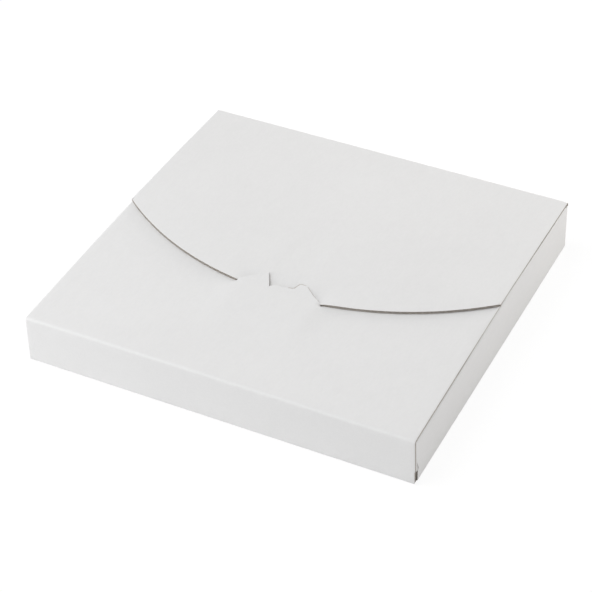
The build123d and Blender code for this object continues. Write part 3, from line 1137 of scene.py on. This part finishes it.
def side_outline():
    """Outline of a side wall and its dust flap, with the slit at its lower front corner."""
    corner = [(wall_w(z), y, 0, "fine") for z, y in CORNER_SLIT]
    corner.append((wall_w(CORNER_SLIT[-1][0]), SIDE_END_Y, 0.3, "fine"))
    corner.append((wall_w(SLIT_TOP), SIDE_END_Y, 0, "cut"))
    shoulder = (SIDE_FLAP + 2, SIDE_END_Y, 1, "cut")
    tip = (SIDE_END, SIDE_END_Y - DUST_TAPER, DUST_CORNER, "cut")
    front = [(w, -y, r, kind) for w, y, r, kind in corner + [shoulder, tip]]
    back = [
        tip,
        shoulder,
        (SIDE_FOLD + 0.4, SIDE_END_Y, 0, "fine"),
        (SIDE_FOLD, SIDE_BACK_Y, 0.3, "fine"),
        (0.25, SIDE_BACK_Y, 0.3, "fine"),
        (0.25, SLOT_Y + 0.3, 0, "fine"),
        (0, SLOT_Y, 0, "join"),
    ]
    return [(0, -SLOT_Y, 0, "fine")] + front + back


for hand in (1, -1):
    place = partial(place_side, hand=hand)
    carton_sheet.add_patch(place, [side_outline()], side_lines_w, y_lines, flip=hand < 0)

tree = flute_tree()
lid = piece("lid_board", lid_sheet.mesh("lid_board", board_finish))
lid_flutes = piece("lid_fluting", fluting("lid_fluting", lid_sheet, tree, fluting_paper))
carton = piece("carton_board", carton_sheet.mesh("carton_board", board_finish))
carton_flutes = piece(
    "carton_fluting", fluting("carton_fluting", carton_sheet, tree, fluting_paper)
)

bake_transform(lid)
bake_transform(lid_flutes)
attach(carton, "box")
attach(carton_flutes, "box")
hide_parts("back_flap", "lock_tongue")
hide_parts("carton")


# Floor, room and lamps: each lamp's place and width in metres, its power and its colour
FLOOR_SIZE = 6.0
FLOOR_PAINT = (0.93, 0.93, 0.93)
FLOOR_GLOW = 1.04
FLOOR_GLOW_SHARE = 0.85
ROOM_GLOW = 0.53
LAMPS = {
    "overhead_lamp": ((-0.8, -0.5, 1.6), 1.2, 14.4, (1, 1, 1)),
    "left_lamp": ((-0.4, -0.45, 0.16), 0.35, 0.65, (1, 1, 1)),
    "right_lamp": ((0.32, 0.62, 0.14), 0.3, 2.1, (1, 0.95, 0.89)),
}


def white_floor():
    """Pale floor that is white to the camera and still keeps a little of the shadow."""
    mesh = bpy.data.meshes.new("floor")
    corners = [(x * FLOOR_SIZE, y * FLOOR_SIZE, 0) for x, y in ((-1, -1), (1, -1), (1, 1), (-1, 1))]
    mesh.from_pydata(corners, [], [(0, 1, 2, 3)])
    floor = bpy.data.objects.new("floor", mesh)
    floor.location.z = -0.05 * MM
    scene.collection.objects.link(floor)
    material = bpy.data.materials.new("floor_white")
    node = cleared(material)
    paint = node("ShaderNodeBsdfDiffuse", {"Color": (*FLOOR_PAINT, 1)}).outputs[0]
    glow = node("ShaderNodeEmission", {"Color": (1, 1, 1, 1), "Strength": FLOOR_GLOW}).outputs[0]
    part = arithmetic(node, "MULTIPLY", seen_directly(node), FLOOR_GLOW_SHARE)
    mix = node("ShaderNodeMixShader", {0: part, 1: paint, 2: glow})
    node("ShaderNodeOutputMaterial", {"Surface": mix.outputs[0]})
    mesh.materials.append(material)


def studio_light():
    """An even white room, a broad soft lamp overhead and a small one low on each side."""
    world = bpy.data.worlds.new("white_room")
    scene.world = world
    node = cleared(world)
    room = node("ShaderNodeBackground", {"Color": (1, 1, 1, 1), "Strength": ROOM_GLOW}).outputs[0]
    view = node("ShaderNodeBackground", {"Color": (1, 1, 1, 1), "Strength": 1.0}).outputs[0]
    mix = node("ShaderNodeMixShader", {0: seen_directly(node), 1: room, 2: view})
    node("ShaderNodeOutputWorld", {"Surface": mix.outputs[0]})
    for name, (place, size, power, colour) in LAMPS.items():
        data = bpy.data.lights.new(name, "AREA")
        data.shape = "DISK"
        data.size = size
        data.energy = power
        data.color = colour
        lamp = bpy.data.objects.new(name, data)
        turn = Vector(place).to_track_quat("Z", "Y").to_matrix().to_4x4()
        lamp.matrix_world = Matrix.Translation(Vector(place)) @ turn
        scene.collection.objects.link(lamp)


white_floor()
studio_light()
